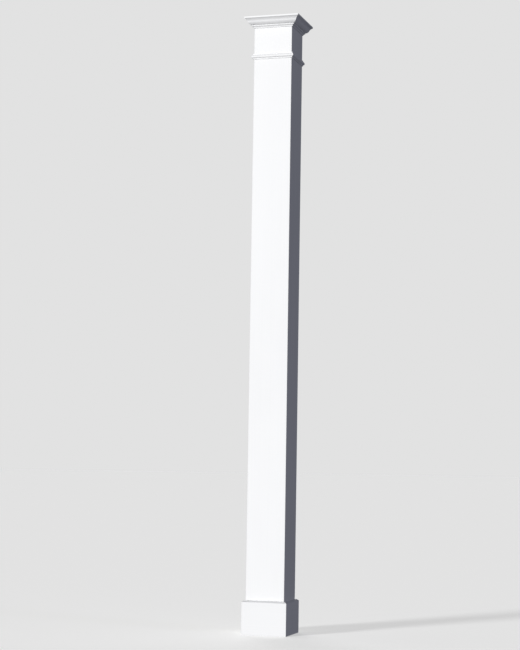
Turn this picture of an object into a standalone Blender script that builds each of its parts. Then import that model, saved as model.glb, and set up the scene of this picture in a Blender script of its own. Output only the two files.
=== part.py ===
"""Square porch column cover, mitred from white cellular PVC boards and mouldings.

Metres, +Z up. The column stands on Z = 0 with its axis on the Z axis and its front towards -Y.
A profile is a list of (out, up) points: out is measured from the shaft's face, away from the
column, and up from the bottom of the piece.
"""
import math

import bmesh
import bpy
from mathutils import Matrix, Vector

# Column and shaft
COLUMN_HEIGHT = 2.438
SHAFT_WIDTH = 0.156
PANEL_THICKNESS = 0.0127
JOINT_GAP = 0.0003
SAW_ALLOWANCE = 0.01

# Base boards
BASE_HEIGHT = 0.1315
BASE_THICKNESS = 0.0127
BASE_CHAMFER_DEPTH = 0.0075
BASE_CHAMFER_HEIGHT = 0.005

# Crown moulding
CROWN_HEIGHT = 0.042
CROWN_PROJECTION = 0.034
CROWN_FILLET_HEIGHT = 0.006
CYMA_FOOT_PROJECTION = 0.0118
CYMA_ARC_ANGLE = math.radians(40)
CROWN_STEP_DEPTH = 0.0026
CROWN_STEP_HEIGHT = 0.004
CROWN_COVE_HEIGHT = 0.0062
CROWN_COVE_ANGLE = math.radians(55)
CROWN_LIP_THICKNESS = 0.003
CROWN_LIP_HEIGHT = 0.0014
CROWN_TOP_LAND = 0.015
CROWN_BACK_LAND = 0.019

# Plain frieze and neck moulding below the crown
FRIEZE_HEIGHT = 0.1038
NECK_MOULDING_HEIGHT = 0.0222
NECK_MOULDING_PROJECTION = 0.0085
NECK_FILLET_HEIGHT = 0.0046
NECK_FILLET_THICKNESS = 0.0032
BEAD_FOOT_DEPTH = 0.002

# Smoothness of the curved profiles
CYMA_SEGMENTS = 10
COVE_SEGMENTS = 6
BEAD_SEGMENTS = 16
SMOOTH_BELOW_ANGLE = math.radians(30)

# The four sides of the column and how far each is turned from the front
SIDES = {
    "front": 0.0,
    "right": math.radians(90),
    "back": math.radians(180),
    "left": math.radians(270),
}

# Colour and roughness of each kind of white PVC
FINISHES = {
    "pvc_sheet": ((0.86, 0.87, 0.88), 0.42),
    "pvc_board": ((0.85, 0.86, 0.87), 0.45),
    "pvc_moulding": ((0.87, 0.88, 0.89), 0.38),
}


def clear_scene():
    """Removes every object of the open scene."""
    for item in list(bpy.data.objects):
        bpy.data.objects.remove(item, do_unlink=True)


def plastic(name):
    """Principled material of one kind of PVC."""
    color, roughness = FINISHES[name]
    material = bpy.data.materials.new(name)
    material.use_nodes = True
    shader = material.node_tree.nodes["Principled BSDF"]
    shader.inputs["Base Color"].default_value = (*color, 1.0)
    shader.inputs["Roughness"].default_value = roughness
    shader.inputs["Metallic"].default_value = 0.0
    material.diffuse_color = (*color, 1.0)
    return material


def arc_between(start, end, angle, segments):
    """Points along a circular arc, start and end included.

    A positive angle turns left on the way from start to end, so the arc bulges to the right.
    """
    start = Vector(start)
    chord = Vector(end) - start
    left = Vector((-chord.y, chord.x))
    centre = start + chord / 2.0 + left / (2.0 * math.tan(angle / 2.0))
    spoke = start - centre
    turns = [angle * step / segments for step in range(segments + 1)]
    return [tuple(centre + Matrix.Rotation(turn, 2) @ spoke) for turn in turns]


def panel_profile():
    """Rectangle of one shaft panel, its face on the shaft's face."""
    return [
        (-PANEL_THICKNESS, 0.0),
        (0.0, 0.0),
        (0.0, COLUMN_HEIGHT),
        (-PANEL_THICKNESS, COLUMN_HEIGHT),
    ]


def base_profile():
    """Board with a chamfer along its top outer edge."""
    inner = JOINT_GAP
    outer = JOINT_GAP + BASE_THICKNESS
    return [
        (inner, 0.0),
        (outer, 0.0),
        (outer, BASE_HEIGHT - BASE_CHAMFER_HEIGHT),
        (outer - BASE_CHAMFER_DEPTH, BASE_HEIGHT),
        (inner, BASE_HEIGHT),
    ]


def crown_profile():
    """Sprung crown moulding: lip, cove, step, cyma recta and fillet, with a sloping back."""
    inner = JOINT_GAP
    cove_top = CROWN_LIP_HEIGHT + CROWN_COVE_HEIGHT
    cyma_foot = (CYMA_FOOT_PROJECTION, cove_top + CROWN_STEP_HEIGHT)
    cyma_head = (CROWN_PROJECTION, CROWN_HEIGHT - CROWN_FILLET_HEIGHT)
    cyma_middle = tuple((Vector(cyma_foot) + Vector(cyma_head)) / 2.0)
    step_foot = (CYMA_FOOT_PROJECTION - CROWN_STEP_DEPTH, cove_top)
    cove_foot = (CROWN_LIP_THICKNESS, CROWN_LIP_HEIGHT)
    profile = [(inner, 0.0), (CROWN_LIP_THICKNESS, 0.0)]
    profile += arc_between(cove_foot, step_foot, -CROWN_COVE_ANGLE, COVE_SEGMENTS)
    profile += [(step_foot[0], cyma_foot[1])]
    profile += arc_between(cyma_foot, cyma_middle, CYMA_ARC_ANGLE, CYMA_SEGMENTS)
    profile += arc_between(cyma_middle, cyma_head, -CYMA_ARC_ANGLE, CYMA_SEGMENTS)[1:]
    profile += [
        (CROWN_PROJECTION, CROWN_HEIGHT),
        (CROWN_PROJECTION - CROWN_TOP_LAND, CROWN_HEIGHT),
        (inner, CROWN_BACK_LAND),
    ]
    return profile


def neck_profile():
    """Astragal: round bead on a plain fillet above and below."""
    inner = JOINT_GAP
    fillet = NECK_FILLET_THICKNESS
    bead_foot = (fillet + BEAD_FOOT_DEPTH, NECK_FILLET_HEIGHT)
    bead_head = (bead_foot[0], NECK_MOULDING_HEIGHT - NECK_FILLET_HEIGHT)
    rise = (bead_head[1] - bead_foot[1]) / 2.0
    bulge = NECK_MOULDING_PROJECTION - bead_foot[0]
    bead_angle = 4.0 * math.atan2(bulge, rise)
    bead = arc_between(bead_foot, bead_head, bead_angle, BEAD_SEGMENTS)
    lower = [(inner, 0.0), (fillet, 0.0), (fillet, bead_foot[1])]
    upper = [(out, NECK_MOULDING_HEIGHT - up) for out, up in reversed(lower)]
    return lower + bead + upper


def mitre_cut(mesh, side):
    """Cuts one end of a length at 45 degrees, half a joint gap short of the column's corner."""
    outward = Vector((side, 1.0, 0.0)).normalized()
    everything = mesh.verts[:] + mesh.edges[:] + mesh.faces[:]
    cut = bmesh.ops.bisect_plane(
        mesh,
        geom=everything,
        plane_co=-outward * JOINT_GAP / 2.0,
        plane_no=outward,
        clear_outer=True,
    )
    rim = [item for item in cut["geom_cut"] if isinstance(item, bmesh.types.BMEdge)]
    bmesh.ops.edgeloop_fill(mesh, edges=rim)


def mitred_mesh(name, profile):
    """Mesh of one front length: the profile pushed along the side and mitred at both ends."""
    face_line = SHAFT_WIDTH / 2.0
    reach = face_line + max(out for out, up in profile) + SAW_ALLOWANCE
    solid = bmesh.new()
    corners = [solid.verts.new((-reach, -face_line - out, up)) for out, up in profile]
    section = solid.faces.new(corners)
    pushed = bmesh.ops.extrude_face_region(solid, geom=[section])
    far_end = [item for item in pushed["geom"] if isinstance(item, bmesh.types.BMVert)]
    bmesh.ops.translate(solid, verts=far_end, vec=(2.0 * reach, 0.0, 0.0))
    mitre_cut(solid, -1.0)
    mitre_cut(solid, 1.0)
    bmesh.ops.recalc_face_normals(solid, faces=solid.faces[:])
    mesh = bpy.data.meshes.new(name)
    solid.to_mesh(mesh)
    solid.free()
    mesh.shade_smooth()
    mesh.set_sharp_from_angle(angle=SMOOTH_BELOW_ANGLE)
    return mesh


def four_sides(name, profile, bottom, material, column):
    """One mitred length on each side of the column, its bottom at the given height."""
    mesh = mitred_mesh(name, profile)
    mesh.materials.append(material)
    for side, turn in SIDES.items():
        piece = bpy.data.objects.new(f"{name}_{side}", mesh)
        piece.location = (0.0, 0.0, bottom)
        piece.rotation_euler = (0.0, 0.0, turn)
        piece.parent = column
        bpy.context.scene.collection.objects.link(piece)


def build_column():
    """Shaft, base, crown and neck moulding round one axis."""
    column = bpy.data.objects.new("column_axis", None)
    bpy.context.scene.collection.objects.link(column)
    crown_bottom = COLUMN_HEIGHT - CROWN_HEIGHT
    neck_bottom = crown_bottom - FRIEZE_HEIGHT - NECK_MOULDING_HEIGHT
    moulding = plastic("pvc_moulding")
    four_sides("shaft_panel", panel_profile(), 0.0, plastic("pvc_sheet"), column)
    four_sides("base_board", base_profile(), 0.0, plastic("pvc_board"), column)
    four_sides("crown_moulding", crown_profile(), crown_bottom, moulding, column)
    four_sides("neck_moulding", neck_profile(), neck_bottom, moulding, column)


clear_scene()
build_column()
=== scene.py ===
"""Looks of the square porch column: sixteen lengths of white cellular PVC in a pale studio.

Metres, +Z up, the column's axis on the Z axis and its front towards -Y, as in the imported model.
Each length is drawn as a profile, turned round the axis into a square ring, and cut out of that
ring along the mitres. A profile's points are (out, up): out from the shaft's face, away from the
column, and up from the bottom of the piece.
"""
import logging
import math
from dataclasses import dataclass, field, replace
from enum import Enum
from typing import Any, Union

import bmesh
import bpy
from mathutils import Matrix, Vector


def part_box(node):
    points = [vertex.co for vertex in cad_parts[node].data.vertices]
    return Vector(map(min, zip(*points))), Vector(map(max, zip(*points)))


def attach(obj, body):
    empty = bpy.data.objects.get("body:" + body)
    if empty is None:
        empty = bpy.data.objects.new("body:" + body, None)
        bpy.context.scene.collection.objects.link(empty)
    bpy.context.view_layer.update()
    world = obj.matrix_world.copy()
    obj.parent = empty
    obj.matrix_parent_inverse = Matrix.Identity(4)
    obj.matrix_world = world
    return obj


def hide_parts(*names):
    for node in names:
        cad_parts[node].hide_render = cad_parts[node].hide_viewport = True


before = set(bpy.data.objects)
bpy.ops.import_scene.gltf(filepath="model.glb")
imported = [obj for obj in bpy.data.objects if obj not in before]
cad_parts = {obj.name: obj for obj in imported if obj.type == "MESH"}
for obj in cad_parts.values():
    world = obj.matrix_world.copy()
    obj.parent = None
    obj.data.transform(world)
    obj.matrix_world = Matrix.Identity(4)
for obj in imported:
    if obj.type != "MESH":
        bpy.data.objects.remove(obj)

BODY = "root"
GRAIN = "grain"
AXIS = (0.0, 0.0, 1.0)
DOUBLE_DISTANCE = 1e-6
SMOOTH_BELOW_ANGLE = math.radians(35.0)

# Metres between the places where neighbouring sides read their grain
GRAIN_APART = 1.0

# Least share of a unit normal along X on a mitre, along Z on a level face, and away from the axis
# on a face of an outer corner
MITRE_FACE = 0.5
LEVEL_FACE = 0.9
OUTER_FACE = 0.1

# Refractive index of the plastic, and how much weaker each finer octave of noise is
PLASTIC_IOR = 1.53
OCTAVE_SHARE = 0.55

log = logging.getLogger("column")
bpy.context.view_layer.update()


class Side(Enum):
    """The four sides of the column, with how far each is turned from the front, in degrees."""

    FRONT = 0
    RIGHT = 90
    BACK = 180
    LEFT = 270

    @property
    def label(self) -> str:
        """The side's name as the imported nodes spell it."""
        return self.name.lower()

    @property
    def turn(self) -> Matrix:
        """Rotation that carries a front length to this side."""
        return Matrix.Rotation(math.radians(self.value), 4, "Z")

    @property
    def number(self) -> int:
        """0 for the front, then 1, 2 and 3 on the way round."""
        return list(Side).index(self)


class Run(Enum):
    """Which way the sheet or profile left its die, as the order of a front length's axes."""

    ALONG = (0, 1, 2)
    UP = (2, 0, 1)


Number = Union[float, "Value"]
Socket = bpy.types.NodeSocket


class Value:
    """One number socket of a shader graph, with the arithmetic that the finishes use."""

    def __init__(self, graph: "Graph", socket: Socket) -> None:
        """Wraps a socket of the given graph."""
        self.graph = graph
        self.socket = socket

    def _math(self, operation: str, first: Number, second: Number) -> "Value":
        """Adds one Math node."""
        return self.graph.value("ShaderNodeMath", {"operation": operation}, {0: first, 1: second})

    def __add__(self, other: Number) -> "Value":
        """Sum."""
        return self._math("ADD", self, other)

    def __radd__(self, other: Number) -> "Value":
        """Sum, with the number on the left."""
        return self._math("ADD", other, self)

    def __sub__(self, other: Number) -> "Value":
        """Difference."""
        return self._math("SUBTRACT", self, other)

    def __rsub__(self, other: Number) -> "Value":
        """Difference, with the number on the left."""
        return self._math("SUBTRACT", other, self)

    def __mul__(self, other: Number) -> "Value":
        """Product."""
        return self._math("MULTIPLY", self, other)

    def __rmul__(self, other: Number) -> "Value":
        """Product, with the number on the left."""
        return self._math("MULTIPLY", other, self)

    def size(self) -> "Value":
        """Value without its sign."""
        return self._math("ABSOLUTE", self, 0.0)

    def ramp(self, low: float, high: float) -> "Value":
        """Smooth step from 0 at low to 1 at high.

        Args:
            low: Value that becomes 0.
            high: Value that becomes 1.

        Returns:
            The stepped value.
        """
        settings = {"interpolation_type": "SMOOTHSTEP", "clamp": True}
        return self.graph.value("ShaderNodeMapRange", settings, {0: self, 1: low, 2: high})


class Graph:
    """Shader nodes of one material or world."""

    def __init__(self, tree: bpy.types.NodeTree) -> None:
        """Empties the node tree and keeps it."""
        self.tree = tree
        tree.nodes.clear()

    def node(self, kind: str, settings: dict[str, Any], inputs: dict[Any, Any]) -> bpy.types.Node:
        """Adds one node.

        Args:
            kind: Blender's name for the node type.
            settings: Attributes of the node, set before its sockets.
            inputs: Value, socket or wrapped socket for each input, by name or number.

        Returns:
            The new node.
        """
        made = self.tree.nodes.new(kind)
        for name, setting in settings.items():
            setattr(made, name, setting)
        for key, given in inputs.items():
            source = given.socket if isinstance(given, Value) else given
            if isinstance(source, Socket):
                self.tree.links.new(source, made.inputs[key])
            else:
                made.inputs[key].default_value = source
        return made

    def value(self, kind: str, settings: dict[str, Any], inputs: dict[Any, Any]) -> Value:
        """Adds one node and wraps its first output."""
        return Value(self, self.node(kind, settings, inputs).outputs[0])

    def stretched(self, vector: Socket, scale: tuple[float, float, float]) -> Socket:
        """Vector multiplied by a scale on each axis.

        Args:
            vector: Vector socket.
            scale: Factor for each axis.

        Returns:
            The scaled vector's socket.
        """
        settings = {"operation": "MULTIPLY"}
        return self.node("ShaderNodeVectorMath", settings, {0: vector, 1: scale}).outputs[0]

    def noise(self, vector: Socket, scale: float, detail: float) -> Value:
        """Noise about 0, between roughly -0.5 and 0.5.

        Args:
            vector: Place that the noise is read at, in metres.
            scale: Bumps in a metre.
            detail: Octaves of finer noise on top of the first.

        Returns:
            The noise.
        """
        inputs = {"Vector": vector, "Scale": scale, "Detail": detail, "Roughness": OCTAVE_SHARE}
        return self.value("ShaderNodeTexNoise", {}, inputs) - 0.5

    def between(self, factor: Number, first: Any, second: Any) -> Socket:
        """Colour between two others.

        Args:
            factor: 0 for the first colour and 1 for the second.
            first: First colour or socket.
            second: Second colour or socket.

        Returns:
            The mixed colour's socket.
        """
        settings = {"data_type": "RGBA"}
        inputs = {0: factor, 6: first, 7: second}
        return self.node("ShaderNodeMix", settings, inputs).outputs[2]

    def bump(self, height: Value, distance: float, strength: float) -> Socket:
        """Normal of a surface that is raised by a height.

        Args:
            height: Height as a share of the distance.
            distance: Metres that a height of 1 stands for.
            strength: Share of the effect that is kept.

        Returns:
            The normal's socket.
        """
        inputs = {"Height": height, "Distance": distance, "Strength": strength}
        return self.node("ShaderNodeBump", {}, inputs).outputs[0]


@dataclass(frozen=True)
class Finish:
    """Base of the two PVC finishes, which both read the piece's own grain."""

    name: str
    color: tuple[float, float, float]
    roughness: float

    def graph(self) -> tuple[bpy.types.Material, Graph, Socket]:
        """New material, its emptied graph and the grain's vector: x along the run, in metres."""
        material = bpy.data.materials.new(self.name)
        material.use_nodes = True
        material.diffuse_color = (*self.color, 1.0)
        graph = Graph(material.node_tree)
        grain = graph.node("ShaderNodeAttribute", {"attribute_name": GRAIN}, {})
        return material, graph, grain.outputs["Vector"]

    def surface(self, graph: Graph, color: Any, roughness: Number, normal: Any) -> None:
        """Principled surface with a plastic's gloss, linked to the output.

        Args:
            graph: Graph of the material.
            color: Colour socket.
            roughness: Roughness.
            normal: Normal socket.
        """
        inputs = {
            "Base Color": color,
            "Roughness": roughness,
            "Metallic": 0.0,
            "IOR": PLASTIC_IOR,
            "Normal": normal,
        }
        shader = graph.node("ShaderNodeBsdfPrincipled", {}, inputs)
        graph.node("ShaderNodeOutputMaterial", {}, {"Surface": shader.outputs[0]})

    def shade(self, share: float) -> tuple[float, float, float, float]:
        """The finish's colour, darker or lighter by a share."""
        return (*(min(1.0, part * (1.0 + share)) for part in self.color), 1.0)


@dataclass(frozen=True)
class Skin(Finish):
    """Closed satin skin, as it leaves the die: faint clouds, lines along the run, fine pebble.

    Where corner_at is given, the skin is rubbed matt by sandpaper next to the mitred corners, which
    lie that far from the middle of the length, along the grain's axis number corner_axis. A depth
    is a share of the colour, a relief is metres, a matting adds to the roughness, and a stretch is
    a pattern's scale along its long way as a share of its scale across.
    """

    cloud_depth: float = 0.03
    cloud_scale: float = 5.0
    cloud_stretch: float = 0.4
    cloud_gain: float = 1.4
    cloud_matting: float = 0.16
    line_depth: float = 0.025
    line_pitch: float = 0.004
    line_relief: float = 0.00005
    line_matting: float = 0.14
    run_stretch: float = 0.004
    pebble_relief: float = 0.00002
    pebble_scale: float = 800.0
    pebble_matting: float = 0.05
    corner_at: float = 0.0
    corner_axis: int = 0
    corner_band: float = 0.006
    ragged_scale: float = 60.0
    sanded_tint: float = 0.5
    sanded_matting: float = 0.2
    scratch_scale: float = 700.0
    scratch_stretch: float = 0.08
    scratch_share: float = 1.5

    def sanding(self, graph: Graph, grain: Socket) -> Value:
        """Share of sanding at a point, 1 at a mitred corner and 0 past the rubbed band."""
        parts = graph.node("ShaderNodeSeparateXYZ", {}, {0: grain})
        across = Value(graph, parts.outputs[self.corner_axis]).size()
        ragged = graph.noise(grain, self.ragged_scale, 3.0) * self.corner_band
        return (across + ragged).ramp(self.corner_at - self.corner_band, self.corner_at)

    def material(self) -> bpy.types.Material:
        """Builds the skin's material."""
        material, graph, grain = self.graph()
        along_run = graph.stretched(grain, (self.run_stretch, 1.0, 1.0))
        lines = graph.noise(along_run, 1.0 / self.line_pitch, 3.0)
        drawn_out = graph.stretched(grain, (self.cloud_stretch, 1.0, 1.0))
        clouds = graph.noise(drawn_out, self.cloud_scale, 3.0)
        pebble = graph.noise(grain, self.pebble_scale, 1.0)
        tone = clouds * self.cloud_gain + lines * (self.line_depth / self.cloud_depth) + 0.5
        color = graph.between(tone, self.shade(-self.cloud_depth), self.shade(self.cloud_depth))
        matting = lines * self.line_matting + clouds * self.cloud_matting + pebble * self.pebble_matting
        roughness = matting + self.roughness
        height = lines * (self.line_relief / self.pebble_relief) + pebble
        if self.corner_at > 0.0:
            sanded = self.sanding(graph, grain)
            rubbed = graph.stretched(grain, (1.0, self.scratch_stretch, self.scratch_stretch))
            scratches = graph.noise(rubbed, self.scratch_scale, 2.0)
            dulled = self.shade(-2.0 * self.cloud_depth)
            color = graph.between(sanded * self.sanded_tint, color, dulled)
            roughness = roughness + sanded * self.sanded_matting
            height = height + sanded * scratches * self.scratch_share
        self.surface(graph, color, roughness, graph.bump(height, self.pebble_relief, 1.0))
        return material


@dataclass(frozen=True)
class Sawn(Finish):
    """Sawn foam core: matt, full of fine closed cells, with the saw's own lines across it."""

    cell_scale: float = 1300.0
    cell_relief: float = 0.0001
    cell_edges: tuple[float, float] = (0.1, 0.6)
    cell_tone: float = 0.6
    saw_pitch: float = 0.0015
    saw_stretch: float = 0.02
    saw_tone: float = 0.6
    saw_matting: float = 0.12
    saw_relief_share: float = 0.6
    cloud_scale: float = 90.0
    cloud_tone: float = 0.5
    base_tone: float = 0.2
    darkest: float = -0.14
    lightest: float = 0.03
    bump_strength: float = 0.8

    def material(self) -> bpy.types.Material:
        """Builds the sawn core's material."""
        material, graph, grain = self.graph()
        inputs = {"Vector": grain, "Scale": self.cell_scale}
        cells = graph.value("ShaderNodeTexVoronoi", {"feature": "F1"}, inputs).ramp(*self.cell_edges)
        along_cut = graph.stretched(grain, (1.0, 1.0, self.saw_stretch))
        saw = graph.noise(along_cut, 1.0 / self.saw_pitch, 1.0)
        clouds = graph.noise(grain, self.cloud_scale, 2.0)
        tone = cells * self.cell_tone + saw * self.saw_tone + clouds * self.cloud_tone + self.base_tone
        color = graph.between(tone, self.shade(self.darkest), self.shade(self.lightest))
        roughness = saw * self.saw_matting + self.roughness
        height = cells + saw * self.saw_relief_share
        normal = graph.bump(height, self.cell_relief, self.bump_strength)
        self.surface(graph, color, roughness, normal)
        return material


@dataclass
class Finishes:
    """The finishes of the column, each material made once."""

    made: dict[str, bpy.types.Material] = field(default_factory=dict)

    def get(self, finish: Union[Skin, Sawn]) -> bpy.types.Material:
        """Material of a finish, made the first time that it is asked for."""
        if finish.name not in self.made:
            self.made[finish.name] = finish.material()
        return self.made[finish.name]


class ProfilePen:
    """Draws one closed profile in the plane x = 0, with the operators that extrude a vertex."""

    def __init__(self, face_line: float, bottom: float, out: float, up: float) -> None:
        """Starts at a first point.

        Args:
            face_line: Distance from the axis to the shaft's face.
            bottom: Height of the piece's bottom above the floor.
            out: First point's distance from the shaft's face.
            up: First point's height above the bottom.
        """
        self.mesh = bmesh.new()
        self.face_line = face_line
        self.bottom = bottom
        self.first = self.mesh.verts.new(self.place(out, up))
        self.tip = self.first
        self.eased: list[bmesh.types.BMVert] = []

    def place(self, out: float, up: float) -> Vector:
        """A profile point in the column's own space."""
        return Vector((0.0, -self.face_line - out, self.bottom + up))

    def line(self, out: float, up: float, eased: bool = False) -> None:
        """Straight stretch to a point, whose corner may be eased later."""
        grown = bmesh.ops.extrude_vert_indiv(self.mesh, verts=[self.tip])
        grown_tip = grown["verts"][0]
        bmesh.ops.translate(self.mesh, verts=[grown_tip], vec=self.place(out, up) - self.tip.co)
        self.tip = grown_tip
        if eased:
            self.eased.append(grown_tip)

    def arc(self, out: float, up: float, turn: float, segments: int, eased: bool = False) -> None:
        """Round stretch to a point.

        Args:
            out: End point's distance from the shaft's face.
            up: End point's height.
            turn: Radians that the arc turns through, positive where it bulges outwards.
            segments: Straight pieces that stand for the arc.
            eased: Whether the corner at its end is eased later.
        """
        axis = Vector((-1.0, 0.0, 0.0))
        chord = self.place(out, up) - self.tip.co
        left = axis.cross(chord)
        centre = self.tip.co + chord / 2.0 + left / (2.0 * math.tan(turn / 2.0))
        spun = bmesh.ops.spin(
            self.mesh, geom=[self.tip], cent=centre, axis=axis, angle=turn, steps=segments
        )
        self.tip = next(item for item in spun["geom_last"] if isinstance(item, bmesh.types.BMVert))
        if eased:
            self.eased.append(self.tip)

    def close(self, ease: float, segments: int = 3) -> bmesh.types.BMesh:
        """Closes the profile and rounds its eased corners.

        Args:
            ease: Radius of the rounding.
            segments: Straight pieces that stand for each rounding.

        Returns:
            The mesh, which holds the profile as one closed loop of edges.
        """
        bmesh.ops.contextual_create(self.mesh, geom=[self.tip, self.first])
        bmesh.ops.edgeloop_fill(self.mesh, edges=self.mesh.edges[:])
        bmesh.ops.bevel(
            self.mesh,
            geom=self.eased,
            offset=ease,
            segments=segments,
            profile=0.5,
            affect="VERTICES",
            material=-1,
        )
        bmesh.ops.delete(self.mesh, geom=self.mesh.faces[:], context="FACES_ONLY")
        return self.mesh


@dataclass
class MitredLengths:
    """Four lengths of one profile, mitred round the shaft. Each kind below draws its own profile."""

    face_line: float
    joint_gap: float
    skin: Skin
    sawn: Sawn

    NODE = ""
    RUN = Run.ALONG
    CORNER_EASE = 0.0
    CORNER_SEGMENTS = 3

    def profile(self) -> bmesh.types.BMesh:
        """Draws the closed profile in the plane x = 0."""
        raise NotImplementedError

    def is_sawn(self, face: bmesh.types.BMFace) -> bool:
        """Whether a face of the front length is a sawn one."""
        return abs(face.normal.x) > MITRE_FACE

    def ring(self) -> bmesh.types.BMesh:
        """Square ring of the profile, its corners eased."""
        mesh = self.profile()
        to_diagonal = Matrix.Rotation(math.radians(-45.0), 4, "Z")
        longer = Matrix.Scale(math.sqrt(2.0), 4, (0, 1, 0))
        bmesh.ops.transform(mesh, matrix=to_diagonal @ longer, verts=mesh.verts[:])
        bmesh.ops.spin(
            mesh,
            geom=mesh.verts[:] + mesh.edges[:],
            cent=(0.0, 0.0, 0.0),
            axis=AXIS,
            angle=math.tau,
            steps=len(Side),
            use_merge=True,
        )
        bmesh.ops.recalc_face_normals(mesh, faces=mesh.faces[:])
        if self.CORNER_EASE > 0.0:
            bmesh.ops.bevel(
                mesh,
                geom=self.corner_edges(mesh),
                offset=self.CORNER_EASE,
                segments=self.CORNER_SEGMENTS,
                profile=0.5,
                affect="EDGES",
                material=-1,
            )
        return mesh

    def corner_edges(self, mesh: bmesh.types.BMesh) -> list[bmesh.types.BMEdge]:
        """Edges of the ring's outer corners, between two faces that look away from the axis."""
        chosen = []
        for edge in mesh.edges:
            start, end = (vert.co for vert in edge.verts)
            same_corner = start.x * end.x > 0.0 and start.y * end.y > 0.0
            away = Vector((start.x, start.y, 0.0)).normalized()
            if same_corner and all(face.normal.dot(away) > OUTER_FACE for face in edge.link_faces):
                chosen.append(edge)
        return chosen

    def front_length(self) -> bmesh.types.BMesh:
        """Front quarter of the ring, cut half a joint gap short of each corner's mitre."""
        mesh = self.ring()
        for hand in (-1.0, 1.0):
            outward = Vector((hand, 1.0, 0.0)).normalized()
            cut = bmesh.ops.bisect_plane(
                mesh,
                geom=mesh.verts[:] + mesh.edges[:] + mesh.faces[:],
                plane_co=-outward * self.joint_gap / 2.0,
                plane_no=outward,
                clear_outer=True,
            )
            rim = [item for item in cut["geom_cut"] if isinstance(item, bmesh.types.BMEdge)]
            bmesh.ops.edgeloop_fill(mesh, edges=rim)
        bmesh.ops.remove_doubles(mesh, verts=mesh.verts[:], dist=DOUBLE_DISTANCE)
        bmesh.ops.recalc_face_normals(mesh, faces=mesh.faces[:])
        return mesh

    def length_mesh(self, name: str, side: Side) -> bpy.types.Mesh:
        """Mesh of one side's length, in its place, with its grain.

        Args:
            name: Name of the mesh.
            side: Side of the column that it is on.

        Returns:
            The mesh.
        """
        mesh = self.front_length()
        grain = mesh.verts.layers.float_vector.new(GRAIN)
        apart = Vector((0.0, GRAIN_APART * side.number, 0.0))
        for vert in mesh.verts:
            place = vert.co + apart
            vert[grain] = Vector(place[axis] for axis in self.RUN.value)
        for face in mesh.faces:
            face.smooth = True
            face.material_index = int(self.is_sawn(face))
        bmesh.ops.transform(mesh, matrix=side.turn, verts=mesh.verts[:])
        made = bpy.data.meshes.new(name)
        mesh.to_mesh(made)
        mesh.free()
        made.set_sharp_from_angle(angle=SMOOTH_BELOW_ANGLE)
        return made

    def build(self, finishes: Finishes) -> None:
        """Makes the four lengths, dresses them and puts each in its node's place."""
        for side in Side:
            name = f"{side.label}_{self.NODE}"
            made = self.length_mesh(name, side)
            made.materials.append(finishes.get(self.skin))
            made.materials.append(finishes.get(self.sawn))
            piece = bpy.data.objects.new(name, made)
            bpy.context.scene.collection.objects.link(piece)
            shading = piece.modifiers.new("face weighted shading", "WEIGHTED_NORMAL")
            shading.keep_sharp = True
            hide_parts(f"{self.NODE}_{side.label}")
            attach(piece, BODY)
            log.info("%s: %d faces, %s", name, len(made.polygons), self.skin.name)


@dataclass
class Shaft(MitredLengths):
    """Four flat panels from the floor to the beam."""

    height: float
    thickness: float
    arris: float = 0.0005

    NODE = "shaft_panel"
    RUN = Run.UP
    CORNER_EASE = 0.0008

    def profile(self) -> bmesh.types.BMesh:
        """Rectangle with its outer face on the shaft's face line."""
        pen = ProfilePen(self.face_line, 0.0, -self.thickness, 0.0)
        pen.line(0.0, 0.0, eased=True)
        pen.line(0.0, self.height, eased=True)
        pen.line(-self.thickness, self.height)
        return pen.close(self.arris)

    def is_sawn(self, face: bmesh.types.BMFace) -> bool:
        """The mitres and both ends are sawn."""
        return super().is_sawn(face) or abs(face.normal.z) > LEVEL_FACE


@dataclass
class BaseBoards(MitredLengths):
    """Four boards round the foot of the shaft, chamfered along the top."""

    inner: float
    height: float
    thickness: float
    chamfer_depth: float = 0.0075
    chamfer_height: float = 0.005
    arris: float = 0.0006

    NODE = "base_board"
    CORNER_EASE = 0.0008

    def profile(self) -> bmesh.types.BMesh:
        """Board with a chamfer and eased arrises."""
        outer = self.inner + self.thickness
        pen = ProfilePen(self.face_line, 0.0, self.inner, 0.0)
        pen.line(outer, 0.0, eased=True)
        pen.line(outer, self.height - self.chamfer_height, eased=True)
        pen.line(outer - self.chamfer_depth, self.height, eased=True)
        pen.line(self.inner, self.height)
        return pen.close(self.arris)

    def is_sawn(self, face: bmesh.types.BMFace) -> bool:
        """The mitres and the underside are sawn."""
        return super().is_sawn(face) or face.normal.z < -LEVEL_FACE


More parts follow.
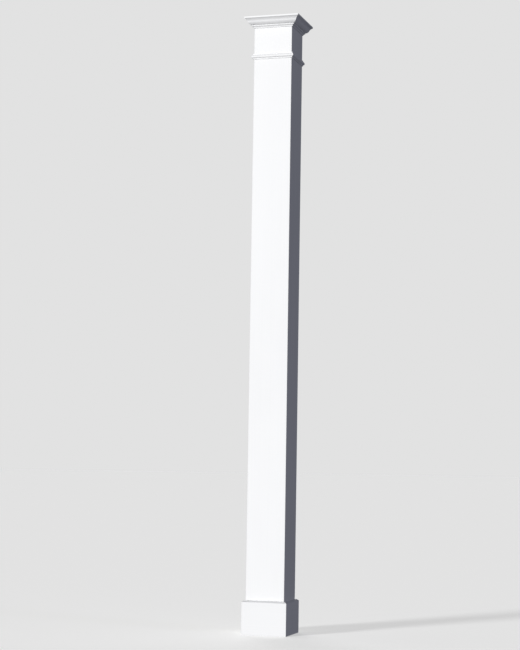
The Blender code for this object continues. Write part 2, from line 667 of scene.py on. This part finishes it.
@dataclass
class CrownMoulding(MitredLengths):
    """Sprung crown: lip, cove, step, cyma recta and fillet, with a sloping back."""

    inner: float
    bottom: float
    height: float
    projection: float
    fillet_height: float = 0.006
    cyma_foot: float = 0.0118
    cyma_turn: float = math.radians(40)
    step_depth: float = 0.0026
    step_height: float = 0.004
    cove_height: float = 0.0062
    cove_turn: float = math.radians(55)
    lip_thickness: float = 0.003
    lip_height: float = 0.0014
    top_land: float = 0.015
    back_land: float = 0.019
    arris: float = 0.0004
    cyma_segments: int = 20
    cove_segments: int = 10

    NODE = "crown_moulding"

    def profile(self) -> bmesh.types.BMesh:
        """Draws the crown from its lip up to its top land and down its back."""
        cove_top = self.lip_height + self.cove_height
        foot_up = cove_top + self.step_height
        head_up = self.height - self.fillet_height
        step_out = self.cyma_foot - self.step_depth
        middle_out = (self.cyma_foot + self.projection) / 2.0
        middle_up = (foot_up + head_up) / 2.0
        pen = ProfilePen(self.face_line, self.bottom, self.inner, 0.0)
        pen.line(self.lip_thickness, 0.0, eased=True)
        pen.line(self.lip_thickness, self.lip_height)
        pen.arc(step_out, cove_top, -self.cove_turn, self.cove_segments)
        pen.line(step_out, foot_up)
        pen.line(self.cyma_foot, foot_up, eased=True)
        pen.arc(middle_out, middle_up, self.cyma_turn, self.cyma_segments)
        pen.arc(self.projection, head_up, -self.cyma_turn, self.cyma_segments, eased=True)
        pen.line(self.projection, self.height, eased=True)
        pen.line(self.projection - self.top_land, self.height)
        pen.line(self.inner, self.back_land)
        return pen.close(self.arris)


@dataclass
class NeckMoulding(MitredLengths):
    """Astragal: round bead on a plain fillet above and below."""

    inner: float
    bottom: float
    height: float
    projection: float
    fillet_height: float = 0.0046
    fillet_thickness: float = 0.0032
    bead_foot_depth: float = 0.002
    arris: float = 0.0003
    bead_segments: int = 32

    NODE = "neck_moulding"

    def profile(self) -> bmesh.types.BMesh:
        """Draws the lower fillet, the bead and the upper fillet."""
        bead_out = self.fillet_thickness + self.bead_foot_depth
        bead_head = self.height - self.fillet_height
        bead_rise = self.height / 2.0 - self.fillet_height
        bead_turn = 4.0 * math.atan2(self.projection - bead_out, bead_rise)
        pen = ProfilePen(self.face_line, self.bottom, self.inner, 0.0)
        pen.line(self.fillet_thickness, 0.0, eased=True)
        pen.line(self.fillet_thickness, self.fillet_height)
        pen.line(bead_out, self.fillet_height, eased=True)
        pen.arc(bead_out, bead_head, bead_turn, self.bead_segments, eased=True)
        pen.line(self.fillet_thickness, bead_head)
        pen.line(self.fillet_thickness, self.height, eased=True)
        pen.line(self.inner, self.height)
        return pen.close(self.arris)


@dataclass
class Column:
    """The whole column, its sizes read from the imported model."""

    finishes: Finishes = field(default_factory=Finishes)
    sheet: Skin = Skin("pvc_sheet", (0.86, 0.862, 0.862), 0.42, line_depth=0.018)
    board: Skin = Skin("pvc_board", (0.85, 0.852, 0.852), 0.45, line_pitch=0.006)
    moulding: Skin = Skin("pvc_moulding", (0.87, 0.872, 0.872), 0.38, line_pitch=0.0015)
    sawn: Sawn = Sawn("pvc_sawn_core", (0.84, 0.835, 0.815), 0.72)

    def parts(self) -> list[MitredLengths]:
        """The four kinds of length, placed by the boxes of their front nodes."""
        shaft_low, shaft_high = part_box("shaft_panel_front")
        base_low, base_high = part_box("base_board_front")
        crown_low, crown_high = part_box("crown_moulding_front")
        neck_low, neck_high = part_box("neck_moulding_front")
        face = -shaft_low.y
        inner = -base_high.y - face
        gap = (face - shaft_high.x) * math.sqrt(2.0)
        common = {"face_line": face, "joint_gap": gap, "sawn": self.sawn}
        return [
            Shaft(
                skin=replace(self.sheet, corner_at=face, corner_axis=1),
                height=shaft_high.z,
                thickness=shaft_high.y - shaft_low.y,
                **common,
            ),
            BaseBoards(
                skin=replace(self.board, corner_at=-base_low.y, corner_axis=0),
                inner=inner,
                height=base_high.z,
                thickness=base_high.y - base_low.y,
                **common,
            ),
            NeckMoulding(
                skin=self.moulding,
                inner=inner,
                bottom=neck_low.z,
                height=neck_high.z - neck_low.z,
                projection=-neck_low.y - face,
                **common,
            ),
            CrownMoulding(
                skin=self.moulding,
                inner=inner,
                bottom=crown_low.z,
                height=crown_high.z - crown_low.z,
                projection=-crown_low.y - face,
                **common,
            ),
        ]

    def build(self) -> None:
        """Builds and dresses every length."""
        for part in self.parts():
            part.build(self.finishes)


@dataclass(frozen=True)
class Softbox:
    """Large far light. Azimuth 0 is in front of the column and 90 to the right of it, in degrees."""

    name: str
    azimuth: float
    elevation: float
    spread: float
    level: float
    color: tuple[float, float, float] = (1.0, 1.0, 1.0)

    def on_floor(self) -> list[float]:
        """Red, green and blue of its light on the floor."""
        share = self.level * max(0.0, math.sin(math.radians(self.elevation)))
        return [share * part for part in self.color]

    def build(self) -> None:
        """Adds the light. A level of 1 lights a white surface that faces it fully."""
        around, up = math.radians(self.azimuth), math.radians(self.elevation)
        level = math.cos(up)
        towards = Vector((math.sin(around) * level, -math.cos(around) * level, math.sin(up)))
        light = bpy.data.lights.new(self.name, "SUN")
        light.energy = self.level * math.pi
        light.angle = math.radians(self.spread)
        light.color = self.color
        lamp = bpy.data.objects.new(self.name, light)
        lamp.rotation_mode = "QUATERNION"
        lamp.rotation_quaternion = towards.to_track_quat("Z", "Y")
        bpy.context.scene.collection.objects.link(lamp)


@dataclass
class Studio:
    """Pale floor and backdrop, soft light from the front left, and the camera."""

    softboxes: tuple[Softbox, ...] = (
        Softbox("key", azimuth=-32.0, elevation=15.0, spread=10.0, level=0.69),
        Softbox("floor_bounce", azimuth=-24.0, elevation=-18.0, spread=24.0, level=0.42),
        Softbox("back", azimuth=-150.0, elevation=15.0, spread=40.0, level=0.45),
        Softbox("side", azimuth=74.0, elevation=10.0, spread=12.0, level=0.125, color=(0.8, 0.83, 1.0)),
    )
    backdrop_level: float = 0.76
    fill_color: tuple[float, float, float] = (0.055, 0.057, 0.069)
    floor_radius: float = 80.0
    floor_color: float = 0.8
    eye: tuple[float, float, float] = (1.87698, -6.3684, 0.67834)
    yaw: float = 0.29522
    pitch: float = 0.08013
    roll: float = 0.01536
    focal_pixels: float = 1676.7
    image_height: float = 650.0
    sensor: float = 36.0

    def floor(self) -> None:
        """Pale disc that the camera alone sees, as bright as the backdrop where nothing shades it."""
        disc = bmesh.new()
        bmesh.ops.create_circle(disc, cap_ends=True, segments=96, radius=self.floor_radius)
        mesh = bpy.data.meshes.new("studio_floor")
        disc.to_mesh(mesh)
        disc.free()
        material = bpy.data.materials.new("studio_floor")
        material.use_nodes = True
        graph = Graph(material.node_tree)
        lit = [sum(light) for light in zip(self.fill_color, *(box.on_floor() for box in self.softboxes))]
        rest = [self.backdrop_level - self.floor_color * light for light in lit]
        color = (self.floor_color, self.floor_color, self.floor_color, 1.0)
        paint = graph.node("ShaderNodeBsdfDiffuse", {}, {"Color": color})
        glow = graph.node("ShaderNodeEmission", {}, {"Color": (*rest, 1.0), "Strength": 1.0})
        both = graph.node("ShaderNodeAddShader", {}, {0: paint.outputs[0], 1: glow.outputs[0]})
        graph.node("ShaderNodeOutputMaterial", {}, {"Surface": both.outputs[0]})
        mesh.materials.append(material)
        floor = bpy.data.objects.new("studio_floor", mesh)
        floor.visible_diffuse = False
        floor.visible_glossy = False
        floor.visible_shadow = False
        bpy.context.scene.collection.objects.link(floor)

    def backdrop(self) -> None:
        """Pale to the camera, and a dim cool fill to the column."""
        world = bpy.data.worlds.new("studio")
        world.use_nodes = True
        graph = Graph(world.node_tree)
        pale = (self.backdrop_level, self.backdrop_level, self.backdrop_level, 1.0)
        seen = graph.node("ShaderNodeLightPath", {}, {})
        fill = graph.node("ShaderNodeBackground", {}, {"Color": (*self.fill_color, 1.0)})
        shown = graph.node("ShaderNodeBackground", {}, {"Color": pale})
        inputs = {0: seen.outputs["Is Camera Ray"], 1: fill.outputs[0], 2: shown.outputs[0]}
        both = graph.node("ShaderNodeMixShader", {}, inputs)
        graph.node("ShaderNodeOutputWorld", {}, {"Surface": both.outputs[0]})
        bpy.context.scene.world = world

    def camera(self) -> None:
        """Camera at the photograph's angle: low down, right of the front, tilted up a little."""
        ahead = Vector(
            (
                -math.sin(self.yaw) * math.cos(self.pitch),
                math.cos(self.yaw) * math.cos(self.pitch),
                math.sin(self.pitch),
            )
        )
        level_right = Vector((math.cos(self.yaw), math.sin(self.yaw), 0.0))
        level_up = level_right.cross(ahead)
        right = math.cos(self.roll) * level_right + math.sin(self.roll) * level_up
        up = math.cos(self.roll) * level_up - math.sin(self.roll) * level_right
        data = bpy.data.cameras.new("camera")
        data.sensor_width = self.sensor
        data.lens = self.sensor * self.focal_pixels / self.image_height
        camera = bpy.data.objects.new("camera", data)
        turned = Matrix((right, up, -ahead)).transposed().to_4x4()
        camera.matrix_world = Matrix.Translation(self.eye) @ turned
        bpy.context.scene.collection.objects.link(camera)
        bpy.context.scene.camera = camera

    def build(self) -> None:
        """Sets up the whole studio."""
        self.floor()
        self.backdrop()
        self.camera()
        for box in self.softboxes:
            box.build()
        bpy.context.scene.view_settings.view_transform = "Standard"


def main() -> None:
    """Builds the column and the studio round it."""
    logging.basicConfig(level=logging.INFO, format="%(message)s")
    Column().build()
    Studio().build()


if __name__ == "__main__":
    main()
